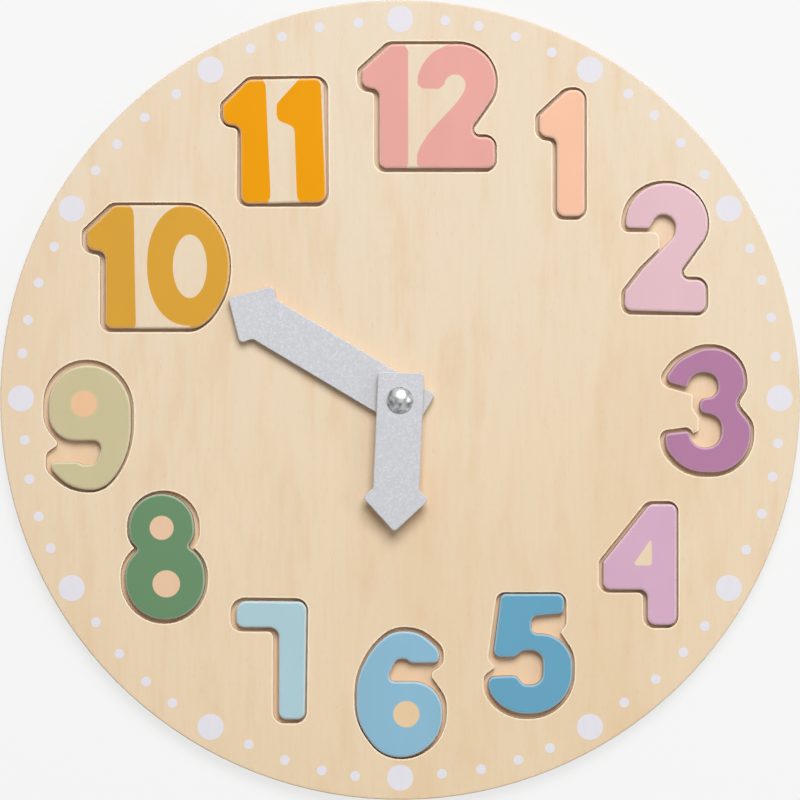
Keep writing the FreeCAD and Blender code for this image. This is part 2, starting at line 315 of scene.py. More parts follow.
@dataclass(frozen=True)
class PlyEdge:
    """Cut edge of plywood: plies of long and end grain with thin glue lines, browned by the cutter.

    Attributes:
        bottom: height of the sheet's underside.
        top: height of its upper face.
        scorch: how brown the cut is, 0 to 1.
        plies: how many plies the sheet has.
        glue_share: half of a glue line's share of the sheet's thickness.
        pale: colour of a ply of long grain.
        dark: colour of a ply of end grain.
        glue: colour of a glue line.
        burnt: colour of scorched wood.
    """

    bottom: float
    top: float
    scorch: float = 0.0
    plies: int = 3
    glue_share: float = 0.035
    pale: Colour = srgb(232, 206, 168)
    dark: Colour = srgb(208, 170, 126)
    glue: Colour = srgb(150, 108, 68)
    burnt: Colour = srgb(128, 66, 22)

    def material(self, name: str) -> bpy.types.Material:
        """The finish as a material of that name."""
        recipe = Recipe(name)
        along = recipe.place(stretch=(1, 1, 4))
        waves = recipe.math("SUBTRACT", recipe.noise(along, 9 * MM), 0.5)
        wobble = recipe.math("MULTIPLY", waves, 0.35 * MM)
        height = recipe.height()
        level = recipe.between(recipe.math("ADD", height, wobble), self.bottom, self.top)
        stops: list[tuple[float, Colour]] = []
        for ply in range(self.plies):
            tone = self.dark if ply % 2 else self.pale
            start, end = ply / self.plies, (ply + 1) / self.plies
            stops += [(start + (self.glue_share if ply else 0), tone), (end - self.glue_share, tone)]
            if ply < self.plies - 1:
                stops.append((end, self.glue))
        base = recipe.ramp(level, stops)
        fine = recipe.noise(recipe.place(stretch=(1, 1, 0.25)), 0.8 * MM, 3.0, 0.7)
        base = recipe.mix(recipe.math("MULTIPLY", recipe.between(fine, 0.4, 0.8), 0.4), base, self.dark)
        blotches = recipe.noise(recipe.place(stretch=(1, 1, 0.3)), 2.5 * MM, 2.0)
        charred = recipe.between(blotches, 0.2, 0.8)
        amount = recipe.scaled(charred, 0.35 * self.scorch, 0.65 * self.scorch)
        base = recipe.mix(amount, base, self.burnt)
        return recipe.finish(Base_Color=base, Roughness=0.8, Normal=recipe.bump(fine, 0.05 * MM, 0.6))


@dataclass(frozen=True)
class SmoothPaint:
    """Satin paint, rolled on evenly, a little worn along the eased edge, with a painted highlight paling the
    bend of that edge.

    Attributes:
        colour: the paint.
        top: height of the painted face, from which the worn edge falls away.
        ease: how far the eased edge reaches down from it.
        pale: colour of the painted highlight on the bend of the edge.
        edge_gloss: strength of the clear coat on the edge.
        edge_highlight: how strongly the painted highlight pales the bend of the edge.
        rough: roughness of the paint.
        shine: its mirror strength.
        coat_rough: roughness of the clear coat.
    """

    colour: Colour
    top: float
    ease: float
    pale: Colour = srgb(246, 238, 228)
    edge_gloss: float = 1.0
    edge_highlight: float = 0.3
    rough: float = 0.45
    shine: float = 0.08
    coat_rough: float = 0.16

    def tint(self, recipe: Recipe) -> Socket:
        """Colour of the paint: slight drifts, a rubbed rim and a painted highlight on the bend of the edge.
        """
        drift = recipe.noise(recipe.place(stretch=(1, 0.5, 1)), 18 * MM, 2.0)
        tones = (lighter(self.colour, -0.025), lighter(self.colour, 0.025))
        base = recipe.mix(recipe.between(drift, 0.3, 0.7), *tones)
        worn = recipe.between(recipe.noise(recipe.place(), 3 * MM, 3.0), 0.45, 0.7)
        rubbed = recipe.math("MULTIPLY", recipe.rim(self.top, self.ease), worn)
        base = recipe.mix(recipe.math("MULTIPLY", rubbed, 0.2), base, lighter(self.colour, -0.35))
        # Painted highlight: the bend of the eased edge is paled towards near-white, standing in for light
        # caught there.
        band = recipe.math("MULTIPLY", recipe.brow(self.top, self.ease), self.edge_highlight)
        return recipe.mix(band, base, self.pale)

    def gloss(self, recipe: Recipe) -> Socket:
        """Strength of the clear coat, which gathers on the eased edge."""
        return recipe.math("MULTIPLY", recipe.rim(self.top, self.ease), self.edge_gloss)

    def skin(self, recipe: Recipe) -> Socket:
        """Normal of the paint, with the roller's faint texture."""
        return recipe.bump(recipe.noise(recipe.place(), 0.9 * MM, 3.0, 0.6), 0.02 * MM, 0.35)

    def material(self, name: str) -> bpy.types.Material:
        """The finish as a material of that name."""
        recipe = Recipe(name)
        return recipe.finish(
            Base_Color=self.tint(recipe),
            Roughness=self.rough,
            Specular_IOR_Level=self.shine,
            Coat_Weight=self.gloss(recipe),
            Coat_Roughness=self.coat_rough,
            Normal=self.skin(recipe),
        )


@dataclass(frozen=True)
class SilverPaint:
    """Matt silver-grey paint, speckled with flakes that differ in tone and hue, with a painted highlight
    paling the eased edge.

    Attributes:
        top: height of the painted face.
        ease: how far the eased edge reaches down from it.
        colour: the paint.
        worn: colour of the painted highlight on the eased edge.
        flake: width of a flake.
    """

    top: float
    ease: float
    colour: Colour = srgb(207, 208, 213)
    worn: Colour = srgb(236, 231, 228)
    flake: float = 0.55 * MM

    def material(self, name: str) -> bpy.types.Material:
        """The finish as a material of that name."""
        recipe = Recipe(name)
        feeds = {"Vector": recipe.place(), "Scale": 1 / self.flake}
        flakes = recipe.node("TexVoronoi", feeds, feature="F1").outputs["Color"]
        tone = recipe.node("SeparateColor", {0: flakes}).outputs[0]
        base = recipe.mix(tone, lighter(self.colour, -0.1), lighter(self.colour, 0.1))
        base = recipe.mix(0.06, base, flakes, "OVERLAY")
        clouds = recipe.noise(recipe.place(), 0.9 * MM, 3.0)
        base = recipe.mix(recipe.between(clouds, 0.35, 0.65), base, lighter(self.colour, -0.1))
        # Painted highlight: the eased edge is paled all round, standing in for light caught on it.
        rubbed = recipe.math("MULTIPLY", recipe.rim(self.top, self.ease), 0.8)
        base = recipe.mix(rubbed, base, self.worn)
        rough = recipe.scaled(tone, 0.2, 0.42)
        grain = recipe.noise(recipe.place(), 0.4 * MM, 2.0)
        normal = recipe.bump(grain, 0.03 * MM, 0.5)
        return recipe.finish(Base_Color=base, Metallic=0.15, Roughness=rough, Normal=normal)


@dataclass(frozen=True)
class PearlPrint:
    """Flat printed dot, a pale lilac white with a soft sheen.

    Attributes:
        far: colour at the top of the board.
        near: colour at the bottom of the board.
        reach: half height of the board.
    """

    far: Colour = srgb(226, 224, 230)
    near: Colour = srgb(235, 232, 240)
    reach: float = 150 * MM

    def material(self, name: str) -> bpy.types.Material:
        """The finish as a material of that name."""
        recipe = Recipe(name)
        fibre = recipe.noise(recipe.place(stretch=(1, 0.1, 1)), 1.2 * MM, 2.0)
        drift = recipe.node("SeparateXYZ", {0: recipe.place()}).outputs[1]
        base = recipe.mix(recipe.between(drift, -self.reach, self.reach), self.near, self.far)
        lines = recipe.math("MULTIPLY", recipe.between(fibre, 0.4, 0.75), 0.3)
        base = recipe.mix(lines, base, lighter(self.near, -0.12))
        return recipe.finish(Base_Color=base, Roughness=0.5, Normal=recipe.bump(fibre, 0.02 * MM, 0.3))


@dataclass(frozen=True)
class Nickel:
    """Plated steel with a bright polish, dulled in small mottled patches whose colour is also darkened as
    painted dark reflections.

    Attributes:
        colour: the bright metal.
        patch: width of a dulled patch.
    """

    colour: Colour = srgb(222, 222, 225)
    patch: float = 2.4 * MM

    def material(self, name: str) -> bpy.types.Material:
        """The finish as a material of that name."""
        recipe = Recipe(name)
        patches = recipe.noise(recipe.place(), self.patch, 4.0, 0.6)
        dulled_and_painted_dark = recipe.between(patches, 0.36, 0.66, smooth=True)
        # Painted reflection: the dulled patches are darkened in colour to stand in for dark mottled
        # reflections; they are also rougher.
        base = recipe.mix(dulled_and_painted_dark, self.colour, lighter(self.colour, -0.68))
        rough = recipe.scaled(dulled_and_painted_dark, 0.1, 0.24)
        normal = recipe.bump(patches, 0.12 * MM, 0.25)
        return recipe.finish(Base_Color=base, Metallic=1.0, Roughness=rough, Normal=normal)


@dataclass(frozen=True)
class RoundPatch:
    """A bare round or oval left unpainted on a number, measured from the middle of the piece.

    Attributes:
        right: its middle, to the right.
        up: its middle, upwards.
        across: half its width.
        tall: half its height.
        fullness: 2 for a true oval, more for one that swells towards its corners.
        blur: how soft its outline is.
    """

    right: float
    up: float
    across: float
    tall: float
    fullness: float = 2.0
    blur: float = PRINT_EDGE

    def bare(self, recipe: Recipe, x: Socket, y: Socket) -> Socket:
        """Mask of the patch: 1 on bare wood."""
        over = recipe.math("DIVIDE", recipe.math("SUBTRACT", x, self.right), self.across)
        above = recipe.math("DIVIDE", recipe.math("SUBTRACT", y, self.up), self.tall)
        powers = [recipe.math("POWER", recipe.math("ABSOLUTE", way), self.fullness) for way in (over, above)]
        away = recipe.math("POWER", recipe.math("ADD", *powers), 1 / self.fullness)
        edge = self.blur / self.across
        return recipe.between(away, 1 + edge, 1 - edge)


@dataclass(frozen=True)
class CornerPatch:
    """A bare patch with straight sides, measured from the middle of the piece.

    Attributes:
        corners: its corners, anticlockwise.
    """

    corners: tuple[Point, ...]

    def bare(self, recipe: Recipe, x: Socket, y: Socket) -> Socket:
        """Mask of the patch: 1 on bare wood."""
        inside: Feed = 1.0
        for start, end in zip(self.corners, self.corners[1:] + self.corners[:1]):
            length = math.dist(start, end)
            right, up = (end[0] - start[0]) / length, (end[1] - start[1]) / length
            depth = recipe.math("SUBTRACT", recipe.math("MULTIPLY", y, right), recipe.math("MULTIPLY", x, up))
            depth = recipe.math("SUBTRACT", depth, start[1] * right - start[0] * up)
            inside = recipe.math("MULTIPLY", inside, recipe.between(depth, -PRINT_EDGE, PRINT_EDGE))
        return inside


@dataclass(frozen=True)
class GapPatch:
    """A bare strip between two printed figures, from one side line to the other.

    Attributes:
        left: the strip's left side as (up, right) points from the bottom to the top.
        right: its right side in the same way.
        rounded: whether the right side bends softly; the left one is straight from point to point.
    """

    left: tuple[Point, ...]
    right: tuple[Point, ...]
    rounded: bool = True

    def side(self, recipe: Recipe, y: Socket, points: Sequence[Point], rounded: bool) -> Socket:
        """Where a side line is, at the height y.

        Args:
            recipe: the material being made.
            y: height above the middle of the piece.
            points: the line as (up, right) points.
            rounded: whether the line bends softly at its points.

        Returns:
            Its place to the right.
        """
        made = recipe.node("FloatCurve", {"Value": recipe.scaled(y, 0.5 / PRINT_REACH, 0.5)})
        line = made.mapping.curves[0]
        shares = [tuple(0.5 + 0.5 * way / PRINT_REACH for way in point) for point in points]
        line.points[0].location = shares[0]
        line.points[1].location = shares[-1]
        for up, right in shares[1:-1]:
            line.points.new(up, right)
        for dot in line.points:
            dot.handle_type = "AUTO_CLAMPED" if rounded else "VECTOR"
        made.mapping.update()
        return recipe.scaled(made.outputs[0], 2 * PRINT_REACH, -PRINT_REACH)

    def bare(self, recipe: Recipe, x: Socket, y: Socket) -> Socket:
        """Mask of the strip: 1 on bare wood."""
        past = recipe.math("SUBTRACT", x, self.side(recipe, y, self.left, False))
        short = recipe.math("SUBTRACT", self.side(recipe, y, self.right, self.rounded), x)
        sides = [recipe.between(depth, -PRINT_EDGE, PRINT_EDGE) for depth in (past, short)]
        return recipe.math("MULTIPLY", *sides)


@dataclass(frozen=True)
class OvalGap:
    """A bare strip between a printed stem and the printed oval to its right.

    Attributes:
        left: the stem's right side as (up, right) points from the bottom to the top.
        figure: the outline of the oval.
    """

    left: tuple[Point, ...]
    figure: RoundPatch

    def bare(self, recipe: Recipe, x: Socket, y: Socket) -> Socket:
        """Mask of the strip: 1 on bare wood."""
        middle = ((-PRINT_REACH, self.figure.right), (PRINT_REACH, self.figure.right))
        strip = GapPatch(self.left, middle, rounded=False).bare(recipe, x, y)
        outside = recipe.math("SUBTRACT", 1.0, self.figure.bare(recipe, x, y))
        return recipe.math("MULTIPLY", strip, outside)


Patch = Union[RoundPatch, CornerPatch, GapPatch, OvalGap]


@dataclass(frozen=True)
class PartlyPainted:
    """Paint that leaves patches of bare birch, as the closed hollows of a number and the gap in a pair.

    Attributes:
        paint: the paint.
        wood: the wood that shows.
        patches: where it shows.
        centre: middle of the piece.
    """

    paint: SmoothPaint
    wood: Birch
    patches: tuple[Patch, ...]
    centre: Vector

    def material(self, name: str) -> bpy.types.Material:
        """The finish as a material of that name."""
        recipe = Recipe(name)
        axes = recipe.node("SeparateXYZ", {0: recipe.place(self.centre)})
        mask: Feed = 0.0
        for patch in self.patches:
            mask = recipe.math("MAXIMUM", mask, patch.bare(recipe, axes.outputs[0], axes.outputs[1]))
        bare, pattern = self.wood.colour(recipe)
        base = recipe.mix(mask, self.paint.tint(recipe), bare)
        return recipe.finish(
            Base_Color=base,
            Roughness=recipe.scaled(mask, 0.2, self.paint.rough),
            Specular_IOR_Level=self.paint.shine,
            Coat_Weight=self.paint.gloss(recipe),
            Coat_Roughness=self.paint.coat_rough,
            Normal=self.paint.skin(recipe),
        )


def deselect_everything() -> None:
    """Leave nothing selected."""
    bpy.ops.object.select_all(action="DESELECT")


def make_active(piece: bpy.types.Object) -> None:
    """Select one piece alone and make it the active one."""
    deselect_everything()
    piece.select_set(True)
    bpy.context.view_layer.objects.active = piece


def node_copy(node: str, name: str) -> bpy.types.Object:
    """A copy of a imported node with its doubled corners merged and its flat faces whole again.

    Args:
        node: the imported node.
        name: the new piece's name.

    Returns:
        The new piece, at the origin, riding on nothing yet.
    """
    make_active(frame["nodes"][node])
    bpy.ops.object.duplicate(linked=False)
    piece = bpy.context.view_layer.objects.active
    piece.name = name
    piece.data.name = name
    piece.parent = None
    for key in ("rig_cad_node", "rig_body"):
        del piece[key]
    piece.data.materials.clear()
    bpy.ops.object.mode_set(mode="EDIT")
    bpy.ops.mesh.customdata_custom_splitnormals_clear()
    bpy.ops.mesh.select_all(action="SELECT")
    bpy.ops.mesh.remove_doubles(threshold=0.001 * MM)
    bpy.ops.mesh.dissolve_limited(angle_limit=math.radians(0.3))
    bpy.ops.mesh.select_all(action="DESELECT")
    bpy.ops.object.mode_set(mode="OBJECT")
    return piece


def ease_edges(piece: bpy.types.Object, height: float, width: float, steps: int, beyond: float = 0.0) -> None:
    """Round the edges of a flat piece that lie at one height.

    Args:
        piece: the piece.
        height: where the edges lie.
        width: how far the rounding reaches in.
        steps: how many faces it has.
        beyond: leave edges nearer than this to the pivot as they are.
    """
    make_active(piece)
    bpy.ops.object.mode_set(mode="EDIT")
    bpy.ops.mesh.select_mode(type="EDGE")
    bpy.ops.mesh.select_all(action="DESELECT")
    bpy.ops.object.mode_set(mode="OBJECT")
    corners = piece.data.vertices
    walls = {key for face in piece.data.polygons if abs(face.normal.z) < 0.5 for key in face.edge_keys}
    flats = {key for face in piece.data.polygons if abs(face.normal.z) > 0.5 for key in face.edge_keys}
    for edge in piece.data.edges:
        start, end = (corners[i].co for i in edge.vertices)
        level = all(math.isclose(point.z, height, abs_tol=0.005 * MM) for point in (start, end))
        key = tuple(sorted(edge.vertices))
        edge.select = level and key in walls and key in flats and start.xy.length > beyond
    bpy.ops.object.mode_set(mode="EDIT")
    bpy.ops.mesh.bevel(offset=width, segments=steps, profile=0.5, affect="EDGES", clamp_overlap=False)
    bpy.ops.mesh.select_all(action="DESELECT")
    bpy.ops.object.mode_set(mode="OBJECT")


def weld(piece: bpy.types.Object, reach: float) -> None:
    """Join the points of a piece that lie closer together than the reach."""
    make_active(piece)
    bpy.ops.object.mode_set(mode="EDIT")
    bpy.ops.mesh.select_all(action="SELECT")
    bpy.ops.mesh.remove_doubles(threshold=reach)
    bpy.ops.object.mode_set(mode="OBJECT")


def lowest(piece: bpy.types.Object, face: bpy.types.MeshPolygon) -> float:
    """Height of the lowest corner of a face."""
    return min(piece.data.vertices[i].co.z for i in face.vertices)


def sand_brinks(
    piece: bpy.types.Object, low: float, high: float, width: float, drop: float, within: float
) -> list[int]:
    """Slope the upper face down a little towards its recesses.

    Args:
        piece: the piece.
        low: height of its underside, to which the recess walls reach.
        high: where the upper face lies.
        width: how wide the sloping strip is.
        drop: how far it falls.
        within: only edges nearer than this to the pivot are sloped.

    Returns:
        The numbers of the strip's faces.
    """
    level = [face.index for face in piece.data.polygons if lowest(piece, face) > high - LEVEL_SLACK]
    bpy.ops.object.mode_set(mode="EDIT")
    bpy.ops.mesh.select_mode(type="FACE")
    bpy.ops.mesh.select_all(action="DESELECT")
    bpy.ops.object.mode_set(mode="OBJECT")
    for index in level:
        piece.data.polygons[index].select = True
    bpy.ops.object.mode_set(mode="EDIT")
    bpy.ops.mesh.inset(thickness=width, depth=0, use_boundary=False, use_even_offset=True)
    bpy.ops.mesh.select_all(action="DESELECT")
    bpy.ops.object.mode_set(mode="OBJECT")
    middle = (low + high) / 2
    walls = {i for face in piece.data.polygons if lowest(piece, face) < middle for i in face.vertices}
    points = piece.data.vertices
    brink = {i for i in walls if points[i].co.xy.length < within and points[i].co.z > high - LEVEL_SLACK}
    flat = [face for face in piece.data.polygons if lowest(piece, face) > high - LEVEL_SLACK]
    strip = [face.index for face in flat if any(i in brink for i in face.vertices)]
    for i in brink:
        points[i].co.z -= drop
    return strip


def close_bore(piece: bpy.types.Object, reach: float) -> float:
    """Fill the hole round the pivot, so that the flat faces are whole while their edges are eased.

    Args:
        piece: the piece.
        reach: corners nearer than this to the pivot belong to the hole.

    Returns:
        The hole's radius.
    """
    make_active(piece)
    radius = min(corner.co.xy.length for corner in piece.data.vertices)
    bpy.ops.object.mode_set(mode="EDIT")
    bpy.ops.mesh.select_mode(type="VERT")
    bpy.ops.mesh.select_all(action="DESELECT")
    bpy.ops.object.mode_set(mode="OBJECT")
    for corner in piece.data.vertices:
        corner.select = corner.co.xy.length < reach
    bpy.ops.object.mode_set(mode="EDIT")
    bpy.ops.mesh.delete(type="VERT")
    bpy.ops.mesh.select_all(action="SELECT")
    bpy.ops.mesh.fill_holes(sides=0)
    bpy.ops.mesh.normals_make_consistent(inside=False)
    bpy.ops.object.mode_set(mode="OBJECT")
    return radius


def drill(piece: bpy.types.Object, radius: float, low: float, high: float, sides: int = 64) -> None:
    """Cut a round hole through a piece at the pivot.

    Args:
        piece: the piece.
        radius: the hole's radius.
        low: height where the hole starts.
        high: height where it ends.
        sides: how many sides the hole has.
    """
    deselect_everything()
    bpy.ops.mesh.primitive_cylinder_add(
        vertices=sides, radius=radius, depth=high - low, location=(0, 0, (low + high) / 2)
    )
    bit = bpy.context.view_layer.objects.active
    make_active(piece)
    cut = piece.modifiers.new("bore", "BOOLEAN")
    cut.operation = "DIFFERENCE"
    cut.solver = "EXACT"
    cut.object = bit
    bpy.ops.object.modifier_apply(modifier=cut.name)
    bpy.data.objects.remove(bit, do_unlink=True)


def smooth_curves(piece: bpy.types.Object, angle: float = math.radians(32)) -> None:
    """Smooth a piece's curved faces and keep its flat ones flat.

    Args:
        piece: the piece.
        angle: sharpest turn that still counts as a curve.
    """
    make_active(piece)
    bpy.ops.object.shade_smooth_by_angle(angle=angle)
    weigh = piece.modifiers.new("even_normals", "WEIGHTED_NORMAL")
    weigh.mode = "FACE_AREA"
    weigh.weight = 100
    weigh.keep_sharp = True
    bpy.ops.object.modifier_apply(modifier=weigh.name)


def dress(piece: bpy.types.Object, finishes: Sequence[bpy.types.Material], wall_top: float) -> None:
    """Give a flat piece its finishes by zone: the top with its eased edge, the walls, the underside.

    Args:
        piece: the piece.
        finishes: one material for each Zone.
        wall_top: height above which a face belongs to the top.
    """
    for finish in finishes:
        piece.data.materials.append(finish)
    for face in piece.data.polygons:
        if face.normal.z < -0.9:
            zone = Zone.UNDERSIDE
        elif face.center.z > wall_top and face.normal.z > 0.05:
            zone = Zone.TOP
        else:
            zone = Zone.WALL
        face.material_index = min(zone.value, len(finishes) - 1)


def seat(piece: bpy.types.Object, node: str) -> None:
    """Let a finished piece stand for its node and ride on the node's body."""
    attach(piece, frame["nodes"][node]["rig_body"])
    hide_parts(node)
    log.info("%s stands for %s, %d faces", piece.name, node, len(piece.data.polygons))


@dataclass
class Board:
    """The two glued discs of the board and the printed dots round its rim.

    Attributes:
        rim_ease: how far the rounding of the rim reaches.
        rim_steps: how many faces it has.
        rim_share: share of the board's radius beyond which an edge belongs to the rim.
        rim_scorch: how brown the rim is.
        wall_scorch: how brown the recess walls are.
        weld_reach: points of the recess edges closer than this become one.
        brink_width: width of the sloped strip round each recess, which is painted pale as a highlight.
        brink_drop: how far it falls towards the recess.
        dot_ring: radius of the ring of dots.
        dot_centre: its middle.
        hour_dot: radius of a large dot.
        minute_dot: radius of a small dot.
        minute_places: the small dots of the first hour, as degrees and distance out from the ring.
        print_depth: how far the print reaches down into the wood, and as far above it.
        dot_sides: how many sides a dot's outline has.
        hours: how many times the dots of one hour repeat.
    """

    rim_ease: float = 0.5 * MM
    rim_steps: int = 3
    rim_share: float = 0.98
    rim_scorch: float = 0.12
    wall_scorch: float = 0.55
    weld_reach: float = 0.17 * MM
    brink_width: float = 0.55 * MM
    brink_drop: float = 0.12 * MM
    dot_ring: float = 142.3 * MM
    dot_centre: Point = (0.08 * MM, 0.62 * MM)
    hour_dot: float = 4.9 * MM
    minute_dot: float = 1.84 * MM
    minute_places: tuple[Point, ...] = (
        (6.8, 0.4 * MM),
        (11.9, 0.4 * MM),
        (17.7, 0.1 * MM),
        (23.65, -0.6 * MM),
    )
    print_depth: float = 0.03 * MM
    dot_sides: int = 48
    hours: int = 12

    def build(self) -> None:
        """Build and dress the face, the back and the dots."""
        self.face()
        self.back()
        self.dots("hour_dots", self.hour_dot, [(0, self.dot_ring)])
        places = [(degrees, self.dot_ring + out) for degrees, out in self.minute_places]
        self.dots("minute_dots", self.minute_dot, places)

    def face(self) -> None:
        """Front disc: birch face, scorched recess walls, a pale painted highlight on the sloped strip round
        each recess, and a plywood rim.
        """
        low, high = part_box("face_panel")
        piece = node_copy("face_panel", "clock_face")
        inside = high.x * self.rim_share
        ease_edges(piece, high.z, self.rim_ease, self.rim_steps, beyond=inside)
        weld(piece, self.weld_reach)
        strip = sand_brinks(piece, low.z, high.z, self.brink_width, self.brink_drop, inside)
        birch = Birch().material("birch_face")
        scorched = PlyEdge(low.z, high.z, scorch=self.wall_scorch).material("scorched_wall")
        rim = PlyEdge(low.z, high.z, scorch=self.rim_scorch).material("ply_rim_front")
        dress(piece, [birch, scorched, birch], high.z - self.rim_ease * 1.01)
        piece.data.materials.append(rim)
        # Painted highlight: the sloped strip round each recess gets a much paler birch, a light line along
        # the recess edges.
        sanded = Birch(far=srgb(250, 238, 216), near=srgb(252, 234, 204), streak=srgb(242, 214, 176))
        piece.data.materials.append(sanded.material("brink_highlight"))
        for face in piece.data.polygons:
            if face.material_index == Zone.WALL.value and face.center.xy.length > inside:
                face.material_index = len(piece.data.materials) - 2
        for index in strip:
            piece.data.polygons[index].material_index = len(piece.data.materials) - 1
        smooth_curves(piece)
        seat(piece, "face_panel")

    def back(self) -> None:
        """Back disc: it shows as the floor of the recesses, at the rim and behind."""
        low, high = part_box("back_panel")
        piece = node_copy("back_panel", "clock_back")
        ease_edges(piece, low.z, self.rim_ease, self.rim_steps, beyond=high.x * self.rim_share)
        floor_tones = {"far": srgb(243, 220, 192), "near": srgb(241, 210, 174), "streak": srgb(230, 192, 150)}
        floor = Birch(**floor_tones, seed=0.31).material("recess_floor")
        behind = Birch(far=srgb(232, 212, 182), near=srgb(228, 205, 174), seed=0.77).material("birch_back")
        rim = PlyEdge(low.z, high.z, scorch=self.rim_scorch).material("ply_rim_back")
        dress(piece, [floor, rim, behind], high.z - LEVEL_SLACK)
        smooth_curves(piece)
        seat(piece, "back_panel")

    def dots(self, name: str, radius: float, places: Sequence[Point]) -> None:
        """Printed dots of one size, all round the board.

        Args:
            name: the piece's name.
            radius: radius of a dot.
            places: the first hour's dots, as degrees clockwise and distance from the ring's middle.
        """
        right, up = self.dot_centre
        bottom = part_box("face_panel")[1].z - self.print_depth
        piece = None
        for degrees, out in places:
            turn = math.radians(degrees)
            place = (right + out * math.sin(turn), up + out * math.cos(turn), bottom)
            bpy.ops.mesh.primitive_circle_add(
                vertices=self.dot_sides, radius=radius, fill_type="NGON", location=place
            )
            if piece is None:
                piece = bpy.context.view_layer.objects.active
                bpy.ops.object.transform_apply(location=True, rotation=False, scale=False)
                bpy.ops.object.mode_set(mode="EDIT")
        bpy.ops.mesh.select_all(action="SELECT")
        bpy.ops.mesh.extrude_region_move(TRANSFORM_OT_translate={"value": (0, 0, 2 * self.print_depth)})
        bpy.ops.mesh.select_all(action="SELECT")
        bpy.ops.mesh.normals_make_consistent(inside=False)
        steps = self.hours - 1
        bpy.ops.mesh.spin(
            steps=steps,
            dupli=True,
            angle=math.tau * steps / self.hours,
            center=(right, up, 0),
            axis=(0, 0, 1),
        )
        bpy.ops.object.mode_set(mode="OBJECT")
        piece.name = name
        piece.data.name = name
        piece.data.materials.append(PearlPrint().material(name + "_print"))
        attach(piece, "board")
        log.info("%s: %d faces", name, len(piece.data.polygons))


@dataclass
class NumberPiece:
    """One lift-out number: eased and painted on top, scorched round the edge, bare below.

    Attributes:
        number: which number it is.
        paint: its paint.
        slot: the record's slot of that paint.
        patches: where the wood stays bare, measured from the middle of the piece.
        wood: its wood.
        ease: how far the rounding of the upper edge reaches.
        ease_steps: how many faces it has.
        weld_reach: points of the rounding closer than this become one.
        scorch: how brown the cut edge is.
    """

    number: int
    paint: Colour
    slot: str
    patches: tuple[Patch, ...] = ()
    wood: Birch = Birch()
    ease: float = 1.1 * MM
    ease_steps: int = 5
    weld_reach: float = 0.05 * MM
    scorch: float = 0.6

    def build(self) -> None:
        """Build and dress the piece."""
        node = f"number_{self.number:02d}"
        low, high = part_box(node)
        piece = node_copy(node, f"painted_{node}")
        ease_edges(piece, high.z, self.ease, self.ease_steps)
        weld(piece, self.weld_reach)
        paint = SmoothPaint(self.paint, high.z, self.ease)
        wood = replace(self.wood, seed=0.05 * self.number)
        top = paint.material(self.slot)
        if self.patches:
            middle = (low + high) / 2
            top = PartlyPainted(paint, wood, self.patches, middle).material(self.slot)
        wall = PlyEdge(low.z, high.z, scorch=self.scorch).material(f"edge_{self.number:02d}")
        dress(piece, [top, wall, wood.material(f"bare_{self.number:02d}")], high.z - self.ease * 1.05)
        smooth_curves(piece)
        seat(piece, node)


def in_units(points: Sequence[Point]) -> tuple[Point, ...]:
    """Points in metres from points in hundredths of the numerals' height."""
    return tuple((first * NUMERAL_UNIT, second * NUMERAL_UNIT) for first, second in points)


def oval(right: float, up: float, across: float, tall: Optional[float] = None, **soft: float) -> RoundPatch:
    """A round or oval bare patch, given in hundredths of the numerals' height.

    Args:
        right: its middle, to the right.
        up: its middle, upwards.
        across: half its width.
        tall: half its height, if that is another.
        soft: fullness and blur, as the patch takes them.

    Returns:
        The patch in metres.
    """
    sizes = [share * NUMERAL_UNIT for share in (right, up, across, tall or across)]
    return RoundPatch(*sizes, **soft)


def tanned(red: int, green: int, blue: int) -> Birch:
    """Birch of one tone, darker than the board's."""
    tone = srgb(red, green, blue)
    return Birch(far=tone, near=tone, streak=lighter(tone, -0.12))


TEN_GAP = OvalGap(
    left=in_units(
        [
            (-60, -24),
            (-49, -20),
            (-47, -18),
            (-43, -17.8),
            (0, -18.8),
            (40, -19.3),
            (45, -20),
            (48, -22),
            (60, -32),
        ]
    ),
    figure=oval(25.3, 1.5, 34.1, 48.4, fullness=2.2),
)
ELEVEN_GAP = GapPatch(
    left=in_units(
        [
            (-60, -7),
            (-49, -5.3),
            (-45, -3.4),
            (-40, -3.2),
            (0, -5.1),
            (40, -6.7),
            (45, -7.1),
            (50, -10),
            (60, -11),
        ]
    ),
    right=in_units(
        [
            (-60, 23),
            (-49, 20.8),
            (-46, 18.6),
            (-42, 17.8),
            (0, 16.4),
            (6, 16.2),
            (9.8, 15.7),
            (12, 13.6),
            (13.6, 10),
            (15, 6),
            (17, 3),
            (21, 1.7),
            (28.5, 1.8),
            (30.5, 2.6),
            (33, 4.7),
            (49, 19.4),
            (60, 29.5),
        ]
    ),
    rounded=False,
)
ELEVEN_EDGE = GapPatch(
    left=in_units(
        [
            (-60, 40),
            (-49, 38.7),
            (-45, 41),
            (-40, 41.1),
            (0, 38.8),
            (40, 37.2),
            (45, 37),
            (50, 34.5),
            (60, 30),
        ]
    ),
    right=in_units([(-60, 60), (60, 60)]),
)
TWELVE_GAP = GapPatch(
    left=in_units([(-60, -19), (-49, -18), (-46, -16.5), (0, -16.6), (44, -16.6), (47.5, -18.5), (60, -20)]),
    right=in_units(
        [
            (-60, 4),
            (-49.3, -6.7),
            (-47.5, -8.8),
            (-44, -9.6),
            (-39, -9.4),
            (-34, -7.7),
            (-25, -2.4),
            (-15, 5.5),
            (-5, 14.8),
            (0, 19.5),
            (5, 23.6),
            (10.5, 27.2),
            (13.4, 28.6),
            (14, -4.5),
            (15.5, -7),
            (19, -9),
            (22, -9),
            (28, -7.4),
            (35, -3.8),
            (40, 0.2),
            (44, 4.8),
            (47, 11),
            (60, 30),
        ]
    ),
)
TWELVE_HOOK = CornerPatch(in_units([(7.2, 13.2), (13.5, 13.2), (13, 17.8)]))
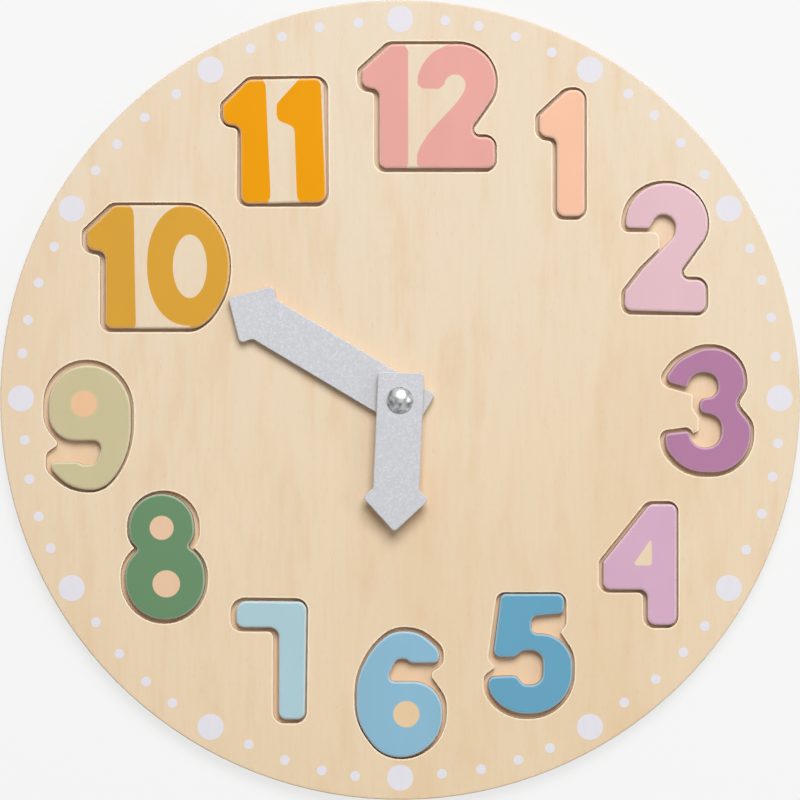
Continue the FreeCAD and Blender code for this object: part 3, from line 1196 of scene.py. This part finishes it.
FOUR_WEDGE = CornerPatch(
    in_units([(-3.4, -0.6), (8.3, -0.6), (9.65, 0.8), (9.35, 18.4), (8.5, 19.3), (7.5, 18.8), (-4.5, 1.55)])
)


@dataclass
class NumberRing:
    """The twelve lift-out numbers in their paints."""

    def build(self) -> None:
        """Build every number."""
        pieces = [
            NumberPiece(1, srgb(247, 195, 164), "paint_peach"),
            NumberPiece(2, srgb(228, 190, 199), "paint_pink"),
            NumberPiece(3, srgb(181, 127, 164), "paint_purple"),
            NumberPiece(4, srgb(216, 175, 200), "paint_lilac", (FOUR_WEDGE,)),
            NumberPiece(5, srgb(105, 167, 195), "paint_blue"),
            NumberPiece(
                6,
                srgb(143, 189, 212),
                "paint_light_blue",
                (oval(5.5, -15.7, 10.5),),
                tanned(240, 209, 166),
            ),
            NumberPiece(7, srgb(177, 208, 217), "paint_aqua"),
            NumberPiece(
                8,
                srgb(108, 145, 108),
                "paint_green",
                (oval(-2.6, 23.3, 9.6), oval(1.1, -21.4, 11, 10.8)),
                tanned(238, 201, 168),
            ),
            NumberPiece(
                9,
                srgb(206, 195, 153),
                "paint_sage",
                (oval(-4.5, 19, 10.5, blur=0.5 * MM),),
                tanned(242, 198, 156),
            ),
            NumberPiece(10, srgb(219, 163, 58), "paint_mustard", (TEN_GAP, oval(25.3, 0.5, 13.6, 25.3))),
            NumberPiece(11, srgb(238, 158, 2), "paint_orange", (ELEVEN_GAP, ELEVEN_EDGE)),
            NumberPiece(
                12,
                srgb(232, 167, 158),
                "paint_salmon",
                (TWELVE_GAP, TWELVE_HOOK, oval(20.8, 16.9, 8.4)),
            ),
        ]
        for piece in pieces:
            piece.build()


@dataclass
class Hand:
    """An arrow-headed hand, painted silver over plywood.

    Attributes:
        node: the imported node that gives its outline.
        ease: how far the rounding of the upper edge reaches.
        ease_steps: how many faces it has.
        bore_reach: corners nearer than this to the pivot belong to the bore.
        overrun: how far the drill goes past the faces.
        scorch: how brown the cut edge is.
    """

    node: str
    ease: float = 0.35 * MM
    ease_steps: int = 3
    bore_reach: float = 4 * MM
    overrun: float = 1 * MM
    scorch: float = 0.25

    def build(self) -> None:
        """Build and dress the hand."""
        low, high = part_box(self.node)
        piece = node_copy(self.node, f"painted_{self.node}")
        bore = close_bore(piece, self.bore_reach)
        ease_edges(piece, high.z, self.ease, self.ease_steps)
        drill(piece, bore, low.z - self.overrun, high.z + self.overrun)
        silver = SilverPaint(high.z, self.ease).material(f"silver_{self.node}")
        wall = PlyEdge(low.z, high.z, scorch=self.scorch).material(f"edge_{self.node}")
        under = Birch(seed=0.9).material(f"bare_{self.node}")
        dress(piece, [silver, wall, under], high.z - self.ease * 1.05)
        smooth_curves(piece)
        seat(piece, self.node)


@dataclass
class Pivot:
    """The domed rivet and the washers that it holds.

    Attributes:
        washers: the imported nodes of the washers, which keep their shape.
    """

    washers: tuple[str, ...] = ("face_washer", "hand_washer", "back_washer")

    def build(self) -> None:
        """Build the polished rivet and plate the washers."""
        piece = node_copy("pivot_rivet", "polished_rivet")
        nickel = Nickel().material("bright_nickel")
        piece.data.materials.append(nickel)
        smooth_curves(piece)
        seat(piece, "pivot_rivet")
        for name in self.washers:
            node = frame["nodes"][name]
            node.data.materials.clear()
            node.data.materials.append(nickel)
            log.info("%s keeps its packed shape", name)


@dataclass
class Studio:
    """Pale table, one large soft light from above the board, a small one at the right, and the camera.

    Attributes:
        distance: from the board's face to the camera.
        sensor: width of the camera's sensor.
        frame_share: share of the picture's width that the board fills.
        table_drop: how far the table lies below the board.
        table_size: its radius.
        table_sides: how many sides its edge has.
        glow_share: how far the table glows by itself in the camera's eyes.
        key_power: power of the large light.
        key_size: its width.
        key_place: where it stands.
        fill_power: power of the small light.
        fill_size: its width.
        fill_place: where it stands.
        sky: light from the ceiling.
        walls: light from the walls.
        mirrored: how bright both look in shiny pieces.
        rise: from where to where, as the share of straight up, the walls pass into the ceiling.
    """

    distance: float = 1.3
    sensor: float = 36 * MM
    frame_share: float = 0.99975
    table_drop: float = 0.2 * MM
    table_size: float = 4.0
    table_sides: int = 96
    glow_share: float = 0.8
    key_power: float = 50.0
    key_size: float = 1.6
    key_place: tuple[float, float, float] = (0.25, 1.38, 1.92)
    fill_power: float = 2.4
    fill_size: float = 0.45
    fill_place: tuple[float, float, float] = (1.3, 0.0, 0.9)
    sky: float = 0.26
    walls: float = 0.3
    mirrored: float = 0.7
    rise: tuple[float, float] = (0.1, 0.35)

    def build(self) -> None:
        """Set up the table, the lights, the surroundings and the camera."""
        self.table()
        self.lamp("key_light", self.key_place, self.key_size, self.key_power)
        self.lamp("side_light", self.fill_place, self.fill_size, self.fill_power)
        self.surroundings()
        self.camera()

    def table(self) -> None:
        """Pale round table, seen from above only, so that the clock's back can be looked at."""
        deselect_everything()
        bpy.ops.mesh.primitive_circle_add(
            vertices=self.table_sides,
            radius=self.table_size,
            fill_type="NGON",
            location=(0, 0, -self.table_drop),
        )
        table = bpy.context.view_layer.objects.active
        table.name = "table"
        recipe = Recipe("pale_table")
        colour = with_alpha(srgb(247, 247, 247))
        paint = recipe.node("BsdfDiffuse", {"Color": colour})
        glow = recipe.node("Emission", {"Color": colour})
        clear = recipe.node("BsdfTransparent")
        path = recipe.node("LightPath")
        seen = recipe.math("MAXIMUM", path.outputs["Is Camera Ray"], path.outputs["Is Glossy Ray"])
        seen = recipe.math("MAXIMUM", seen, path.outputs["Is Transmission Ray"])
        above = recipe.math("SUBTRACT", 1.0, recipe.node("NewGeometry").outputs["Backfacing"])
        shown = recipe.math("MULTIPLY", seen, above)
        pale = recipe.node("MixShader", {0: self.glow_share, 1: paint.outputs[0], 2: glow.outputs[0]})
        both = recipe.node("MixShader", {0: shown, 1: clear.outputs[0], 2: pale.outputs[0]})
        recipe.node("OutputMaterial", {"Surface": both.outputs[0]})
        table.data.materials.append(recipe.material)

    def lamp(self, name: str, place: tuple[float, float, float], size: float, power: float) -> None:
        """A round soft light aimed at the middle of the board.

        Args:
            name: the lamp's name.
            place: where it stands.
            size: its width.
            power: its power in watts.
        """
        deselect_everything()
        bpy.ops.object.light_add(type="AREA", location=place)
        lamp = bpy.context.view_layer.objects.active
        lamp.name = name
        lamp.rotation_euler = (-Vector(place)).to_track_quat("-Z", "Y").to_euler()
        lamp.data.shape = "DISK"
        lamp.data.size = size
        lamp.data.energy = power

    def surroundings(self) -> None:
        """Dim walls and ceiling, which shiny pieces mirror as paler ones."""
        world = bpy.data.worlds.new("studio")
        bpy.context.scene.world = world
        world.use_nodes = True
        tree = world.node_tree
        tree.nodes.clear()
        look = tree.nodes.new("ShaderNodeTexCoord")
        split = tree.nodes.new("ShaderNodeSeparateXYZ")
        rise = tree.nodes.new("ShaderNodeMapRange")
        rise.inputs["From Min"].default_value = self.rise[0]
        rise.inputs["From Max"].default_value = self.rise[1]
        rise.inputs["To Min"].default_value = self.walls
        rise.inputs["To Max"].default_value = self.sky
        path = tree.nodes.new("ShaderNodeLightPath")
        strength = tree.nodes.new("ShaderNodeMix")
        strength.inputs["B"].default_value = self.mirrored
        light = tree.nodes.new("ShaderNodeBackground")
        out = tree.nodes.new("ShaderNodeOutputWorld")
        tree.links.new(look.outputs["Generated"], split.inputs[0])
        tree.links.new(split.outputs[2], rise.inputs["Value"])
        tree.links.new(path.outputs["Is Glossy Ray"], strength.inputs["Factor"])
        tree.links.new(rise.outputs[0], strength.inputs["A"])
        tree.links.new(strength.outputs["Result"], light.inputs["Strength"])
        tree.links.new(light.outputs[0], out.inputs[0])
        light.inputs["Color"].default_value = (1.0, 1.0, 1.0, 1.0)

    def camera(self) -> None:
        """Long lens straight above the pivot, filled by the board from edge to edge."""
        low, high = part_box("face_panel")
        bpy.ops.object.camera_add(location=(0, 0, high.z + self.distance))
        camera = bpy.context.view_layer.objects.active
        camera.name = "camera"
        camera.data.sensor_width = self.sensor / MM
        camera.data.lens = camera.data.sensor_width / 2 * self.distance * self.frame_share / high.x
        bpy.context.scene.camera = camera


def main() -> None:
    """Build the whole clock, then the room round it."""
    logging.basicConfig(level=logging.INFO, format="%(name)s: %(message)s")
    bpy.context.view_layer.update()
    Board().build()
    NumberRing().build()
    Hand("minute_hand").build()
    Hand("hour_hand").build()
    Pivot().build()
    Studio().build()
    bpy.context.scene.view_settings.view_transform = "Standard"
    deselect_everything()


if __name__ == "__main__":
    main()
